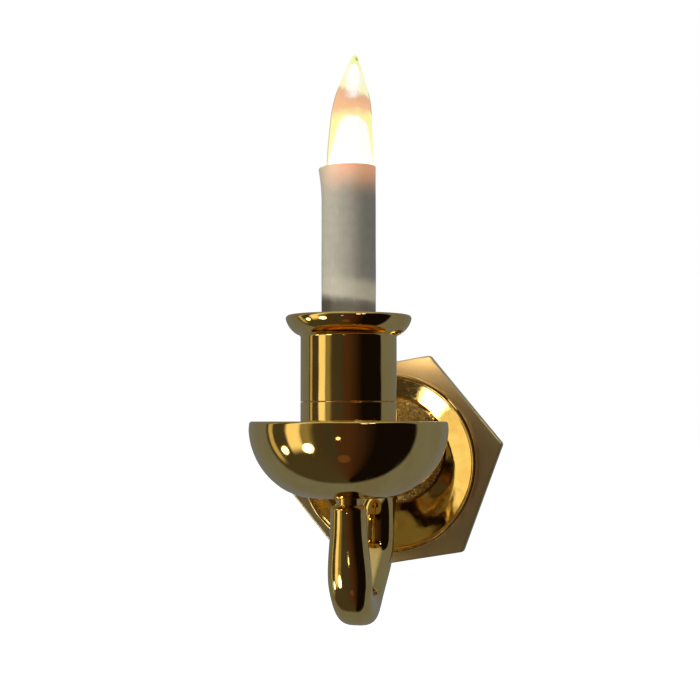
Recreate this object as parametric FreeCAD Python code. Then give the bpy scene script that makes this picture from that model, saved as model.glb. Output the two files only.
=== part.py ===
"""A one-twelfth scale electric candle sconce in plated brass: hexagonal wall plate, dished rosette, hollow
U-shaped arm, drip pan, candle cup, white candle sleeve and a flame-shaped two-pin bulb.

Millimetres. The wall is the plane y = 0, the front faces -Y, +Z is up, and the origin is the middle of the
wire exit at the wall. The candle stands on a vertical line, the candle axis, in front of the wall.
"""

import FreeCAD, Part
import math
import os
from FreeCAD import Vector

# Wall plate
PLATE_CIRCUMRADIUS = 8.35
PLATE_THICKNESS = 0.7
PLATE_TURN_DEG = 9.6        # the plate sits a little off level
PLATE_CORNER_R = 0.25
PLATE_BEVEL = 0.12

# Rosette dish: radii about the wall axis and depths in front of the wall
DISH_R = 6.6
DISH_DRAFT = 0.1
DISH_DEPTH = 2.1
DISH_CREST_WIDTH = 0.4
DISH_CREST_DROP = 0.14
COVE_MIDDLE_R = 5.4
COVE_MIDDLE_DEPTH = 1.64
COVE_FOOT_R = 4.3
COVE_FOOT_DEPTH = 1.5
DISH_FLOOR_R = 3.87
DISH_FLOOR_DEPTH = 1.65
DISH_FLOOR_SHIFT = (0.45, 0.9)      # the raised floor sits off centre, to the right and up

# Wire exit bush
BUSH_R = 0.92
BUSH_BORE_R = 0.5

# Candle axis, from the wall
PROJECTION = 15.0

# Drip pan
PAN_RIM_Z = 3.0
PAN_R = 6.45
PAN_DEPTH = 4.9
PAN_WALL = 0.4
PAN_FLOOR_THICKNESS = 0.5
PAN_WIDEST_DROP = 0.55
PAN_FOOT_R = 2.2
PAN_LOW_SHARE = (0.558, 0.948)      # shares of the radius and the depth
PAN_KNEE_SHARE = (0.72, 0.825)
PAN_SIDE_SHARE = (0.922, 0.5)
PAN_INNER_SIDE_SHARE = (0.83, 0.5)
PAN_FLOOR_MARGIN = 0.25

# Candle cup
CUP_R = 3.11
CUP_SEAM_Z = 4.26
CUP_SEAM_EDGE = 0.04
CUP_BASE_FLOOR = 0.6
CUP_BASE_BORE_R = 2.4
CUP_PLUG_LENGTH = 0.8
CUP_PLUG_STEP = 0.5
CUP_FLOOR_Z = 5.2
CUP_FLOOR_THICKNESS = 0.8
CUP_TOP_Z = 9.86
CUP_BARREL_DROP = 1.6
CUP_BOWL_DROP = 1.28
CUP_BOWL_STEP = 0.16
CUP_FLANGE_R = 4.05
CUP_FLANGE_DROP = 0.3
CUP_FLANGE_UNDERCUT = (0.27, 0.8)
CUP_LIP_WIDTH = 0.42
CUP_LIP_DROP = 0.12
CUP_FLARE = (0.72, 1.05)
CUP_THROAT_DROP = 1.5

# Stack nut
NUT_ACROSS_FLATS = 3.2
NUT_HEIGHT = 1.0
NECK_ABOVE_NUT = 0.2

# Candle sleeve
SLEEVE_R = 1.76
SLEEVE_BORE_R = 1.64
SLEEVE_TOP_Z = 19.55

# Lamp socket, its contacts and wires
SOCKET_R = 1.45
SOCKET_FOOT_R = 1.0
SOCKET_TOP_Z = 16.8
CONTACT_R = 0.38
CONTACT_BORE_R = 0.21
CONTACT_LENGTH = 3.95
CONTACT_RECESS = 0.05
JOINT_SLEEVE_R = 0.36
JOINT_SLEEVE_LENGTH = 2.1
WIRE_R = 0.17
WIRE_OFFSET = 0.22
WIRE_BEND_CUT = 0.6
WIRE_CROSS_DROP = 1.2
WIRE_CROSS_RISE = 0.3
WIRE_BELOW_PIN = 0.2

# Bulb
BULB_R = 1.53
BULB_TIP_Z = 26.84
BULB_BASE_R = 1.5
BULB_BASE_HEIGHT = 0.55
BULB_PLUG_HEIGHT = 0.5
BULB_MOUTH_R = 1.3
BULB_WALL = 0.17
BULB_FOOT_INSET = 0.06
BULB_SHOULDER = 0.6
BULB_NUB_R = 0.2
BULB_TIP_WALL = 0.5
BULB_FLAME = [                      # shares of the radius and of the height above the shoulder
    (0.98, 0.25),
    (0.90, 0.48),
    (0.765, 0.67),
    (0.565, 0.79),
    (0.35, 0.89),
]
PIN_OFFSET = 0.5
PIN_R = 0.18
PIN_ENTRY = 0.8
SUPPORT_R = 0.06
FILAMENT_Z = 21.0
FILAMENT_R = 0.14

# Arm centre line, from the neck down, round the bend and back to the wall
ARM_TOP_Z = -2.85
FRONT_CURVE_R = 14.0
FRONT_DEG = -76.0
BEND_R = 2.8
RISE_DEG = 36.0
RISE_RUN = 3.4
STEEP_DEG = 82.0
STEEP_RUN = 1.0
BACK_DEG = 42.0
SWAY_R = 2.4
WALL_BEND_R = 2.5

# Arm section: half width across and half depth in the plane of the bend
NECK_R = 0.8
ARM_TOP_HALF = (1.17, 1.17)
ARM_FRONT_HALF = (1.43, 1.22)
ARM_BEND_HALF = (1.24, 1.18)
ARM_BACK_HALF = (1.33, 1.17)
ARM_WALL_HALF = (1.22, 1.22)
SHOULDER_HEIGHT = 0.5
SHOULDER_BULGE = (0.72, 0.74)       # shares of the shoulder's width and height
WIRE_BORE_R = 0.45
SOLDER_WIDTH = 0.4

# Fits and small clearances
FIT = 0.02
SLIP = 0.05
SEAT_GAP = 0.03

# Heights and levels that follow from these
PAN_BOTTOM_Z = PAN_RIM_Z - PAN_DEPTH
PAN_FLOOR_Z = PAN_BOTTOM_Z + PAN_FLOOR_THICKNESS
NUT_Z = PAN_FLOOR_Z + CUP_BASE_FLOOR + SEAT_GAP
NECK_TOP_Z = NUT_Z + NUT_HEIGHT + NECK_ABOVE_NUT
CONTACT_TOP_Z = SOCKET_TOP_Z - CONTACT_RECESS
CONTACT_LOW_Z = CONTACT_TOP_Z - CONTACT_LENGTH
PIN_LOW_Z = CONTACT_LOW_Z + PIN_ENTRY
WIRE_TOP_Z = PIN_LOW_Z - WIRE_BELOW_PIN
BULB_SEAT_Z = SOCKET_TOP_Z + SLIP
BULB_GLASS_Z = BULB_SEAT_Z + BULB_BASE_HEIGHT + FIT
BULB_SHOULDER_Z = BULB_GLASS_Z + BULB_SHOULDER
PIN_TOP_Z = BULB_SEAT_Z + BULB_BASE_HEIGHT + BULB_PLUG_HEIGHT

CANDLE_Y = -PROJECTION
SIDES = {"left": -1.0, "right": 1.0}
Z_AXIS = Vector(0, 0, 1)
WALL_AXIS = Vector(0, 1, 0)


def wire_of(start, steps):
    """A closed wire in the (radius, height) plane. Each step is an end point, or (middle, end) for an arc."""
    edges = []
    here = Vector(start[0], 0, start[1])
    for step in list(steps) + [start]:
        if isinstance(step[0], tuple):
            middle, end = (Vector(p[0], 0, p[1]) for p in step)
            edges.append(Part.Arc(here, middle, end).toShape())
        else:
            end = Vector(step[0], 0, step[1])
            edges.append(Part.LineSegment(here, end).toShape())
        here = end
    return Part.Wire(edges)


def turned(start, steps):
    """A solid turned about the candle axis from its outline of radii and heights."""
    solid = Part.Face(wire_of(start, steps)).revolve(Vector(), Z_AXIS, 360)
    solid.translate(Vector(0, CANDLE_Y, 0))
    return solid


def turned_on_wall(start, steps):
    """A solid turned about the wall axis from its outline of radii and depths in front of the wall."""
    solid = Part.Face(wire_of(start, steps)).revolve(Vector(), Z_AXIS, 360)
    solid.rotate(Vector(), Vector(1, 0, 0), 90)
    return solid


def rod(radius, low, high, x=0.0):
    """An upright cylinder beside the candle axis."""
    return Part.makeCylinder(radius, high - low, Vector(x, CANDLE_Y, low))


def wall_rod(radius, deep, shallow):
    """A cylinder on the wall axis, between two depths in front of the wall."""
    return Part.makeCylinder(radius, deep - shallow, Vector(0, -deep, 0), WALL_AXIS)


def tube(outer, inner, low, high, x=0.0):
    return rod(outer, low, high, x).cut(rod(inner, low, high, x))


def blend(a, b, t):
    return tuple(p + (q - p) * t for p, q in zip(a, b))


# ---- Arm centre line ------------------------------------------------------------------------------------

def turn_step(radius, first_deg, last_deg):
    """How far an arc moves back from the candle and up, as its heading turns from first to last."""
    first, last = math.radians(first_deg), math.radians(last_deg)
    side = 1.0 if last > first else -1.0
    back = side * radius * (math.sin(last) - math.sin(first))
    up = -side * radius * (math.cos(last) - math.cos(first))
    return back, up


# Radius and headings of each arc of the centre line. A heading is 0 towards the wall and -90 straight down.
ARM_TURNS = [
    (FRONT_CURVE_R, -90.0, FRONT_DEG),
    (BEND_R, FRONT_DEG, RISE_DEG),
    (SWAY_R, RISE_DEG, STEEP_DEG),
    (SWAY_R, STEEP_DEG, BACK_DEG),
    (WALL_BEND_R, BACK_DEG, 0.0),
]


def arm_runs():
    """The straight run before each arc. The first and last are what makes the arm end on the wall axis."""
    back = sum(turn_step(*turn)[0] for turn in ARM_TURNS)
    up = sum(turn_step(*turn)[1] for turn in ARM_TURNS)
    for length, heading in ((RISE_RUN, RISE_DEG), (STEEP_RUN, STEEP_DEG)):
        back += length * math.cos(math.radians(heading))
        up += length * math.sin(math.radians(heading))
    slope = math.radians(BACK_DEG)
    last = (PROJECTION - DISH_FLOOR_DEPTH - back) / math.cos(slope)
    first = ARM_TOP_Z + up + last * math.sin(slope)
    return [first, 0.0, RISE_RUN, STEEP_RUN, last]


def arm_edges():
    """The arm's centre line from the neck to the dish, as straight edges and tangent arcs at x = 0."""
    y, z = CANDLE_Y, ARM_TOP_Z
    edges = []
    for run, (radius, first, last) in zip(arm_runs(), ARM_TURNS):
        heading = math.radians(first)
        start = Vector(0, y, z)
        y += run * math.cos(heading)
        z += run * math.sin(heading)
        corner = Vector(0, y, z)
        if run:
            edges.append(Part.LineSegment(start, corner).toShape())
        back, up = turn_step(radius, first, (first + last) / 2)
        middle = Vector(0, y + back, z + up)
        back, up = turn_step(radius, first, last)
        y += back
        z += up
        edges.append(Part.Arc(corner, middle, Vector(0, y, z)).toShape())
    return edges


def arm_section(edge, share, half):
    """An ellipse across the centre line, with its long way along X."""
    at = edge.FirstParameter + (edge.LastParameter - edge.FirstParameter) * share
    centre = edge.valueAt(at)
    along = edge.tangentAt(at)
    across = Vector(1, 0, 0)
    if half[0] == half[1]:
        ring = Part.Circle(centre, along, half[0])
        ring.XAxis = across
    else:
        ring = Part.Ellipse(centre + across * half[0], centre + along.cross(across) * half[1], centre)
    return Part.Wire([ring.toShape()])


def scroll_arm():
    """A hollow casting of oval section, with a neck for the pan and a tenon through the dish."""
    edges = arm_edges()
    neck_run, front, bend, rise, sway_1, steep, sway_2, slope, wall_bend = edges
    stations = [
        (neck_run, 0.0, ARM_TOP_HALF),
        (neck_run, 1.0, blend(ARM_TOP_HALF, ARM_FRONT_HALF, 0.3)),
        (front, 0.5, blend(ARM_TOP_HALF, ARM_FRONT_HALF, 0.7)),
        (front, 0.95, ARM_FRONT_HALF),
        (bend, 0.25, blend(ARM_FRONT_HALF, ARM_BEND_HALF, 0.6)),
        (bend, 0.5, ARM_BEND_HALF),
        (bend, 0.75, ARM_BEND_HALF),
        (rise, 0.0, ARM_BEND_HALF),
        (rise, 1.0, ARM_BACK_HALF),
        (sway_1, 0.5, ARM_BACK_HALF),
        (steep, 0.5, ARM_BACK_HALF),
        (sway_2, 0.5, ARM_BACK_HALF),
        (slope, 0.1, ARM_BACK_HALF),
        (slope, 0.9, blend(ARM_BACK_HALF, ARM_WALL_HALF, 0.7)),
        (wall_bend, 0.5, ARM_WALL_HALF),
        (wall_bend, 0.8, ARM_WALL_HALF),
        (wall_bend, 1.0, ARM_WALL_HALF),
    ]
    body = Part.makeLoft([arm_section(*station) for station in stations], True, False)
    shoulder_top = ARM_TOP_Z + SHOULDER_HEIGHT
    full = ARM_TOP_HALF[0]
    wide, high = SHOULDER_BULGE
    bulge = (NECK_R + (full - NECK_R) * wide, ARM_TOP_Z + SHOULDER_HEIGHT * high)
    shoulder = turned((0, ARM_TOP_Z), [(full, ARM_TOP_Z), (bulge, (NECK_R, shoulder_top)), (0, shoulder_top)])
    neck = rod(NECK_R, shoulder_top, NECK_TOP_Z)
    tenon = wall_rod(NECK_R, DISH_FLOOR_DEPTH, PLATE_THICKNESS + SEAT_GAP)
    solid = body.fuse([shoulder, neck, tenon]).removeSplitter()
    neck_end = Vector(0, CANDLE_Y, NECK_TOP_Z)
    neck_edge = Part.LineSegment(neck_end, Vector(0, CANDLE_Y, ARM_TOP_Z)).toShape()
    wall_edge = Part.LineSegment(Vector(0, -DISH_FLOOR_DEPTH, 0), Vector(0, 0, 0)).toShape()
    return solid.cut(swept(WIRE_BORE_R, [neck_edge] + edges + [wall_edge]))


def swept(radius, edges):
    """A round bar along tangent edges."""
    path = Part.Wire(edges)
    start = edges[0].valueAt(edges[0].FirstParameter)
    along = edges[0].tangentAt(edges[0].FirstParameter)
    ring = Part.Wire([Part.makeCircle(radius, start, along)])
    return path.makePipeShell([ring], True, True)


# ---- Wall pieces ----------------------------------------------------------------------------------------

def is_post(edge):
    """Whether an edge runs from front to back."""
    return abs(edge.tangentAt(edge.FirstParameter).y) > 0.9


def is_in_plane(edge, depth):
    """Whether an edge lies in the plane at a depth in front of the wall."""
    box = edge.BoundBox
    return abs(box.YMin + depth) < FIT and box.YLength < FIT


def hex_back_plate():
    """A thin stamped hexagon with eased corners and a bevelled front edge."""
    corners = []
    for i in range(7):
        angle = math.radians(PLATE_TURN_DEG + 60 * i)
        corners.append(Vector(PLATE_CIRCUMRADIUS * math.cos(angle), 0, PLATE_CIRCUMRADIUS * math.sin(angle)))
    plate = Part.Face(Part.makePolygon(corners)).extrude(Vector(0, -PLATE_THICKNESS, 0))
    plate = plate.makeFillet(PLATE_CORNER_R, [edge for edge in plate.Edges if is_post(edge)])
    front = [edge for edge in plate.Edges if is_in_plane(edge, PLATE_THICKNESS)]
    plate = plate.makeChamfer(PLATE_BEVEL, front)
    return plate.cut(wall_rod(BUSH_R + FIT, PLATE_THICKNESS, 0))


def rosette_dish():
    """A round dish: drafted side wall, narrow crest, shallow cove, and a raised floor off its centre."""
    back = PLATE_THICKNESS
    outer = DISH_R - DISH_DRAFT
    inner = outer - DISH_CREST_WIDTH
    crest_side = DISH_DEPTH - DISH_CREST_DROP
    dish = turned_on_wall(
        (0, back),
        [
            (DISH_R, back),
            (outer, crest_side),
            ((outer - DISH_CREST_WIDTH / 2, DISH_DEPTH), (inner, crest_side)),
            ((COVE_MIDDLE_R, COVE_MIDDLE_DEPTH), (COVE_FOOT_R, COVE_FOOT_DEPTH)),
            (0, COVE_FOOT_DEPTH),
        ],
    )
    floor = wall_rod(DISH_FLOOR_R, DISH_FLOOR_DEPTH, back)
    floor.translate(Vector(DISH_FLOOR_SHIFT[0], 0, DISH_FLOOR_SHIFT[1]))
    return dish.fuse(floor).cut(wall_rod(NECK_R + FIT, DISH_FLOOR_DEPTH, back)).removeSplitter()


def arm_solder_ring():
    """The run of solder where the arm meets the dish."""
    inner = ARM_WALL_HALF[0] + SLIP
    outer = inner + SOLDER_WIDTH
    face = DISH_FLOOR_DEPTH
    hollow = (inner + SOLDER_WIDTH / 3, face + SOLDER_WIDTH / 3)
    return turned_on_wall((inner, face), [(outer, face), (hollow, (inner, face + SOLDER_WIDTH))])


def wire_exit_bush():
    """The insulating bush that the feed wires leave through."""
    return wall_rod(BUSH_R, PLATE_THICKNESS, 0).cut(wall_rod(BUSH_BORE_R, PLATE_THICKNESS, 0))


# ---- Pieces on the candle axis --------------------------------------------------------------------------

def drip_pan():
    """A deep round pan: upright lip, sides that turn in, and a flat foot."""
    rim = PAN_RIM_Z
    lip = PAN_WALL / 2

    def at(share):
        return (PAN_R * share[0], rim - PAN_DEPTH * share[1])

    return turned(
        (NECK_R + FIT, PAN_BOTTOM_Z),
        [
            (PAN_FOOT_R, PAN_BOTTOM_Z),
            (at(PAN_LOW_SHARE), at(PAN_KNEE_SHARE)),
            (at(PAN_SIDE_SHARE), (PAN_R, rim - PAN_WIDEST_DROP)),
            (PAN_R - SEAT_GAP, rim - lip),
            ((PAN_R - lip, rim), (PAN_R - PAN_WALL, rim - lip)),
            (at(PAN_INNER_SIDE_SHARE), (CUP_R + PAN_FLOOR_MARGIN, PAN_FLOOR_Z)),
            (NECK_R + FIT, PAN_FLOOR_Z),
        ],
    )


def cup_base():
    """The lower ring of the candle cup, which stands in the pan."""
    low = PAN_FLOOR_Z
    high = CUP_SEAM_Z - SEAT_GAP / 2
    return turned(
        (NECK_R + FIT, low),
        [
            (CUP_R, low),
            (CUP_R, high - CUP_SEAM_EDGE),
            (CUP_R - CUP_SEAM_EDGE, high),
            (CUP_BASE_BORE_R, high),
            (CUP_BASE_BORE_R, low + CUP_BASE_FLOOR),
            (NECK_R + FIT, low + CUP_BASE_FLOOR),
        ],
    )


def stack_nut():
    """The hexagon nut that draws the cup base and the pan down on the arm's shoulder."""
    corner_r = NUT_ACROSS_FLATS / math.sqrt(3)
    corners = []
    for i in range(7):
        angle = math.radians(60 * i)
        corners.append(Vector(corner_r * math.cos(angle), CANDLE_Y + corner_r * math.sin(angle), NUT_Z))
    nut = Part.Face(Part.makePolygon(corners)).extrude(Vector(0, 0, NUT_HEIGHT))
    return nut.cut(rod(NECK_R + FIT, NUT_Z, NUT_Z + NUT_HEIGHT))


def candle_cup():
    """The upper cup: a plug into the base, a straight barrel, and a bowl-shaped flange round its mouth."""
    top = CUP_TOP_Z
    seam = CUP_SEAM_Z + SEAT_GAP / 2
    widest = (CUP_FLANGE_R, top - CUP_FLANGE_DROP)
    under = (CUP_FLANGE_R - CUP_FLANGE_UNDERCUT[0], top - CUP_FLANGE_UNDERCUT[1])
    bowl_foot = (CUP_R + CUP_BOWL_STEP, top - CUP_BOWL_DROP)
    barrel_top = (CUP_R, top - CUP_BARREL_DROP)
    foot_curve = (CUP_R + CUP_BOWL_STEP / 5, (barrel_top[1] + bowl_foot[1]) / 2 + SEAT_GAP / 2)
    lip = (CUP_FLANGE_R - CUP_LIP_WIDTH / 4, top - SEAT_GAP)
    lip_in = (CUP_FLANGE_R - CUP_LIP_WIDTH, top - CUP_LIP_DROP)
    throat = (SLEEVE_R + SLIP, top - CUP_THROAT_DROP)
    flare = (SLEEVE_R + CUP_FLARE[0], top - CUP_FLARE[1])
    floor_low = CUP_FLOOR_Z - CUP_FLOOR_THICKNESS
    plug_low = CUP_SEAM_Z - CUP_PLUG_LENGTH
    plug_r = CUP_BASE_BORE_R - FIT
    return turned(
        (SOCKET_FOOT_R + FIT, floor_low),
        [
            (plug_r - CUP_PLUG_STEP, floor_low),
            (plug_r - CUP_PLUG_STEP, plug_low),
            (plug_r, plug_low),
            (plug_r, seam),
            (CUP_R - CUP_SEAM_EDGE, seam),
            (CUP_R, seam + CUP_SEAM_EDGE),
            barrel_top,
            (foot_curve, bowl_foot),
            (under, widest),
            (lip, lip_in),
            (flare, throat),
            (SLEEVE_R + SLIP, CUP_FLOOR_Z),
            (SOCKET_FOOT_R + FIT, CUP_FLOOR_Z),
        ],
    )


def lamp_socket():
    """The insulating post inside the candle, with two bores for the contacts and wires."""
    foot_low = CUP_FLOOR_Z - CUP_FLOOR_THICKNESS + SEAT_GAP
    post = rod(SOCKET_R, CUP_FLOOR_Z, SOCKET_TOP_Z).fuse(rod(SOCKET_FOOT_R, foot_low, CUP_FLOOR_Z))
    for side in SIDES.values():
        post = post.cut(rod(CONTACT_R + FIT, foot_low, SOCKET_TOP_Z, side * PIN_OFFSET))
    return post.removeSplitter()


def socket_contact(side):
    return tube(CONTACT_R, CONTACT_BORE_R, CONTACT_LOW_Z, CONTACT_TOP_Z, side * PIN_OFFSET)


def joint_sleeve(side):
    """The shrunk insulation over the joint between a contact and its wire."""
    high = CONTACT_LOW_Z - SEAT_GAP
    return tube(JOINT_SLEEVE_R, WIRE_R + FIT, high - JOINT_SLEEVE_LENGTH, high, side * PIN_OFFSET)


def feed_wire(side):
    """One wire: down the socket, across to the arm's bore, and along the arm to the dish."""
    x_top, x_arm = side * PIN_OFFSET, side * WIRE_OFFSET
    cross_high = CUP_FLOOR_Z - WIRE_CROSS_DROP
    cross_low = NECK_TOP_Z + WIRE_CROSS_RISE
    points = [(x_top, WIRE_TOP_Z), (x_top, cross_high), (x_arm, cross_low), (x_arm, ARM_TOP_Z)]
    edges = rounded([Vector(x, CANDLE_Y, z) for x, z in points], WIRE_BEND_CUT)
    for edge in arm_edges():
        moved = edge.copy()
        moved.translate(Vector(x_arm, 0, 0))
        edges.append(moved)
    return swept(WIRE_R, edges)


def rounded(points, cut_back):
    """Straight edges through the points, with each corner replaced by an arc tangent to both sides."""
    edges = []
    here = points[0]
    for before, corner, after in zip(points, points[1:], points[2:]):
        to_before = (before - corner).normalize()
        to_after = (after - corner).normalize()
        first = corner + to_before * cut_back
        last = corner + to_after * cut_back
        half = to_before.getAngle(to_after) / 2
        radius = cut_back * math.tan(half)
        inward = (to_before + to_after).normalize()
        middle = corner + inward * (radius / math.sin(half) - radius)
        edges.append(Part.LineSegment(here, first).toShape())
        edges.append(Part.Arc(first, middle, last).toShape())
        here = last
    edges.append(Part.LineSegment(here, points[-1]).toShape())
    return edges


def candle_sleeve():
    return tube(SLEEVE_R, SLEEVE_BORE_R, CUP_FLOOR_Z + SEAT_GAP, SLEEVE_TOP_Z)


# ---- Bulb -----------------------------------------------------------------------------------------------

def flame_points(shrink):
    """The flame's flank from its shoulder towards its tip, moved inwards by shrink."""
    tall = BULB_TIP_Z - BULB_SHOULDER_Z
    return [(BULB_R * wide - shrink, BULB_SHOULDER_Z + tall * high) for wide, high in BULB_FLAME]


def bulb_glass():
    """A hollow flame-shaped envelope with a small drawn tip, open at its foot for the base."""
    outer = flame_points(0.0)
    inner = flame_points(BULB_WALL)
    nub_z = BULB_TIP_Z - BULB_NUB_R
    diagonal = BULB_NUB_R * math.sqrt(0.5)
    inner_shoulder = (BULB_R - BULB_WALL, BULB_SHOULDER_Z + BULB_WALL)
    return turned(
        (BULB_MOUTH_R, BULB_GLASS_Z),
        [
            (BULB_R - BULB_FOOT_INSET, BULB_GLASS_Z),
            (BULB_R, BULB_SHOULDER_Z),
            (outer[0], outer[1]),
            (outer[2], outer[3]),
            (outer[4], (BULB_NUB_R, nub_z)),
            ((diagonal, nub_z + diagonal), (0, BULB_TIP_Z)),
            (0, nub_z - BULB_TIP_WALL),
            inner[4],
            inner[3],
            (inner[2], inner[1]),
            (inner[0], inner_shoulder),
            (BULB_MOUTH_R, BULB_SHOULDER_Z),
        ],
    )


def bulb_base():
    """The small base that closes the glass and holds the pins."""
    low = BULB_SEAT_Z
    step = low + BULB_BASE_HEIGHT
    base = rod(BULB_BASE_R, low, step)
    base = base.fuse(rod(BULB_MOUTH_R - FIT, step, step + BULB_PLUG_HEIGHT)).removeSplitter()
    for side in SIDES.values():
        base = base.cut(rod(PIN_R + FIT, low, step + BULB_PLUG_HEIGHT, side * PIN_OFFSET))
    return base


def bulb_pin(side):
    return rod(PIN_R, PIN_LOW_Z, PIN_TOP_Z, side * PIN_OFFSET)


def filament_support(side):
    return rod(SUPPORT_R, PIN_TOP_Z, FILAMENT_Z, side * PIN_OFFSET)


def filament_coil():
    """The coil's outer shape, a short bar between the supports."""
    half = PIN_OFFSET - SUPPORT_R - FIT
    centre_z = FILAMENT_Z - FILAMENT_R
    return Part.makeCylinder(FILAMENT_R, 2 * half, Vector(-half, CANDLE_Y, centre_z), Vector(1, 0, 0))


def build():
    shapes = {
        "hex_back_plate": hex_back_plate(),
        "rosette_dish": rosette_dish(),
        "scroll_arm": scroll_arm(),
        "arm_solder_ring": arm_solder_ring(),
        "wire_exit_bush": wire_exit_bush(),
        "drip_pan": drip_pan(),
        "cup_base": cup_base(),
        "stack_nut": stack_nut(),
        "candle_cup": candle_cup(),
        "lamp_socket": lamp_socket(),
        "candle_sleeve": candle_sleeve(),
        "bulb_glass": bulb_glass(),
        "bulb_base": bulb_base(),
        "filament_coil": filament_coil(),
    }
    paired = {
        "socket_contact": socket_contact,
        "joint_sleeve": joint_sleeve,
        "feed_wire": feed_wire,
        "bulb_pin": bulb_pin,
        "filament_support": filament_support,
    }
    for name, make in paired.items():
        for side_name, side in SIDES.items():
            shapes[f"{name}_{side_name}"] = make(side)
    return shapes


os.makedirs("parts", exist_ok=True)
for name, shape in build().items():
    print(name, "valid" if shape.isValid() else "NOT VALID", len(shape.Solids), round(shape.Volume, 4))
    shape.exportStep(os.path.join("parts", name + ".step"))
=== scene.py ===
"""Looks of a one-twelfth scale electric candle sconce in plated brass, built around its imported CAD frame.

Outlines are in millimetres and become metres when a mesh is made. The wall is y = 0, the front faces -Y and
+Z is up. The candle stands on the candle axis, x = 0 and y = CANDLE_Y.
"""

import math

import bmesh
import bpy
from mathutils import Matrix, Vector, noise


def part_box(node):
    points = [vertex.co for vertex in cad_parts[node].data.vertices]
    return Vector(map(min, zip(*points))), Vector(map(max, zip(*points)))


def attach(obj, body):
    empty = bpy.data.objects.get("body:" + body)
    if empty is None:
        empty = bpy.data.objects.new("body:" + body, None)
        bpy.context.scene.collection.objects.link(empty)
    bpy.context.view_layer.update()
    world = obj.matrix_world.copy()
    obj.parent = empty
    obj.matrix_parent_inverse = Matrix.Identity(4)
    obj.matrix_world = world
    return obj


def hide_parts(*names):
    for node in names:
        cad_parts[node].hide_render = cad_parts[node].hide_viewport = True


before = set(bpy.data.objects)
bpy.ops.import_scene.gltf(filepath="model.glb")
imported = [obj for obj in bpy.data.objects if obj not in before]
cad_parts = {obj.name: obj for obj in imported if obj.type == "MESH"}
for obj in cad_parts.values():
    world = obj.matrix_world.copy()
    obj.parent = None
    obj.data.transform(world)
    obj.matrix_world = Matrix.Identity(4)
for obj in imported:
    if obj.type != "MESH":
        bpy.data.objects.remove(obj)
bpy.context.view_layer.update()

MM = 0.001


def mm_box(node):
    """A CAD node's lowest and highest corners in millimetres."""
    return [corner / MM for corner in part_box(node)]


def half_width(corners):
    """Half the width between a box's two corners, which is the radius of a round piece."""
    low, high = corners
    return (high.x - low.x) / 2


SLEEVE_LOW, SLEEVE_HIGH = mm_box("candle_sleeve")
CANDLE_Y = (SLEEVE_LOW.y + SLEEVE_HIGH.y) / 2
SLEEVE_R = half_width((SLEEVE_LOW, SLEEVE_HIGH))

# Camera: its angle to the right of the front, its distance from the candle axis, its height, the height and
# the distance to the right of the axis that it aims at, and its focal length
VIEW_AZIMUTH = math.radians(12.4)
VIEW_DISTANCE = 103.4
EYE_Z = 3.0
AIM_Z = 7.62
AIM_RIGHT = 0.09
LENS = 82.3

# How finely round shapes are divided
ROUND_STEPS = 192
ARC_STEPS = 16

# Points nearer than this are one point, and an edge that turns more than this is sharp
MERGE_DISTANCE = 0.0002
SHARP_DEG = 32

# Room between a piece and the one that it goes around
FIT = 0.02


# ---- Mesh tools ------------------------------------------------------------------------------------------

def arc(first, middle, last, steps=ARC_STEPS):
    """Points after the first on the arc through three points of a plane."""
    (ax, ay), (bx, by), (cx, cy) = first, middle, last
    d = 2 * (ax * (by - cy) + bx * (cy - ay) + cx * (ay - by))
    ux = ((ax**2 + ay**2) * (by - cy) + (bx**2 + by**2) * (cy - ay) + (cx**2 + cy**2) * (ay - by)) / d
    uy = ((ax**2 + ay**2) * (cx - bx) + (bx**2 + by**2) * (ax - cx) + (cx**2 + cy**2) * (bx - ax)) / d
    radius = math.hypot(ax - ux, ay - uy)
    start, end = math.atan2(ay - uy, ax - ux), math.atan2(cy - uy, cx - ux)
    turn = (end - start) % math.tau
    if (math.atan2(by - uy, bx - ux) - start) % math.tau > turn:
        turn -= math.tau
    angles = [start + turn * (i + 1) / steps for i in range(steps)]
    return [(ux + radius * math.cos(a), uy + radius * math.sin(a)) for a in angles]


def outline(start, steps):
    """The points of a closed outline. Each step is an end point, or (middle, end) for an arc."""
    points = [start]
    for step in steps:
        if isinstance(step[0], tuple):
            points += arc(points[-1], step[0], step[1])
        else:
            points.append(step)
    return points


def skin(name, rings, loops=True):
    """A mesh object with a skin from each ring of points to the next and, if it loops, from last to first."""
    mesh = bmesh.new()
    count = len(rings[0])
    made = [[mesh.verts.new(Vector(point) * MM) for point in ring] for ring in rings]
    pairs = list(zip(made, made[1:]))
    if loops:
        pairs.append((made[-1], made[0]))
    for low, high in pairs:
        for i in range(count):
            j = (i + 1) % count
            mesh.faces.new((low[i], low[j], high[j], high[i]))
    bmesh.ops.remove_doubles(mesh, verts=mesh.verts, dist=MERGE_DISTANCE * MM)
    bmesh.ops.recalc_face_normals(mesh, faces=mesh.faces)
    data = bpy.data.meshes.new(name)
    mesh.to_mesh(data)
    mesh.free()
    data.polygons.foreach_set("use_smooth", [True] * len(data.polygons))
    data.set_sharp_from_angle(angle=math.radians(SHARP_DEG))
    piece = bpy.data.objects.new(name, data)
    bpy.context.scene.collection.objects.link(piece)
    return piece


def around(count=ROUND_STEPS):
    """Angles evenly spaced around a circle."""
    return [math.tau * i / count for i in range(count)]


def lathe(name, points):
    """Turns an outline of radii and heights about the candle axis."""
    rings = [[(r * math.cos(a), CANDLE_Y + r * math.sin(a), z) for a in around()] for r, z in points]
    return skin(name, rings)


def finish_piece(piece, body, slot, material, *nodes):
    """Gives a piece its body and its material, and hides the CAD nodes that it stands for. The slot is not
    used.
    """
    piece.data.materials.append(material)
    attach(piece, body)
    if nodes:
        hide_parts(*nodes)
    return piece


def blend(a, b, t):
    """The value a share t of the way from a to b."""
    return a + (b - a) * t


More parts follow.
